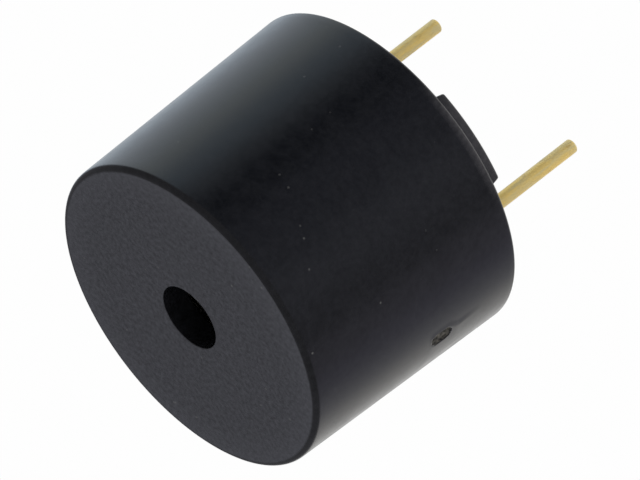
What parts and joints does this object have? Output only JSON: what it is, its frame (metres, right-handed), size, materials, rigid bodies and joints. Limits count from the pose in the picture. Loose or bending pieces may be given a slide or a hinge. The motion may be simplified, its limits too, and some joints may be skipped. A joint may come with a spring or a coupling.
{
  "type": "magnetic buzzer",
  "caption": "Round through-hole magnetic buzzer: black drafted case with a sound hole, on short feet, a steel diaphragm over an electromagnet inside, solder pins below.",
  "frame": {"origin": "midway between the two pins, in the plane of the feet's undersides, which is the top face of the circuit board that the buzzer is soldered to", "axes": "+Z out of the sound hole, away from the circuit board; +X from the negative pin to the positive pin"},
  "size_m": [0.012, 0.012, 0.0144],
  "materials": {
    "case_black": "fine spark-eroded face, satin side wall",
    "ring_natural": "natural moulded, satin",
    "foil_steel": "rolled bright foil",
    "iron": "zinc-plated soft iron, dull",
    "ferrite": "bonded ferrite, matte",
    "bobbin_natural": "natural moulded, thin",
    "copper_wire": "enamelled copper, glossy",
    "board_green": "solder-masked laminate",
    "package_black": "moulded epoxy package, tinned leads",
    "chip_ceramic": "ceramic chip, dark top, tinned caps",
    "pin_brass": "drawn brass wire, satin",
    "solder": "tin solder, bright satin",
    "resin": "cast resin, glossy"
  },
  "bodies": {
    "root": {"case": "case_black", "support_ring": "ring_natural", "diaphragm": "foil_steel", "armature": "iron", "core": "iron", "yoke": "iron", "magnet": "ferrite", "bobbin": "bobbin_natural", "winding": "copper_wire", "lead_supply": "copper_wire", "lead_drive": "copper_wire", "lead_sense": "copper_wire", "board": "board_green", "transistor": "package_black", "resistor": "chip_ceramic", "pin_pos": "pin_brass", "pin_neg": "pin_brass", "solder_pos": "solder", "solder_neg": "solder", "solder_supply": "solder", "solder_drive": "solder", "solder_sense": "solder", "seal": "resin"}
  },
  "joints": []
}
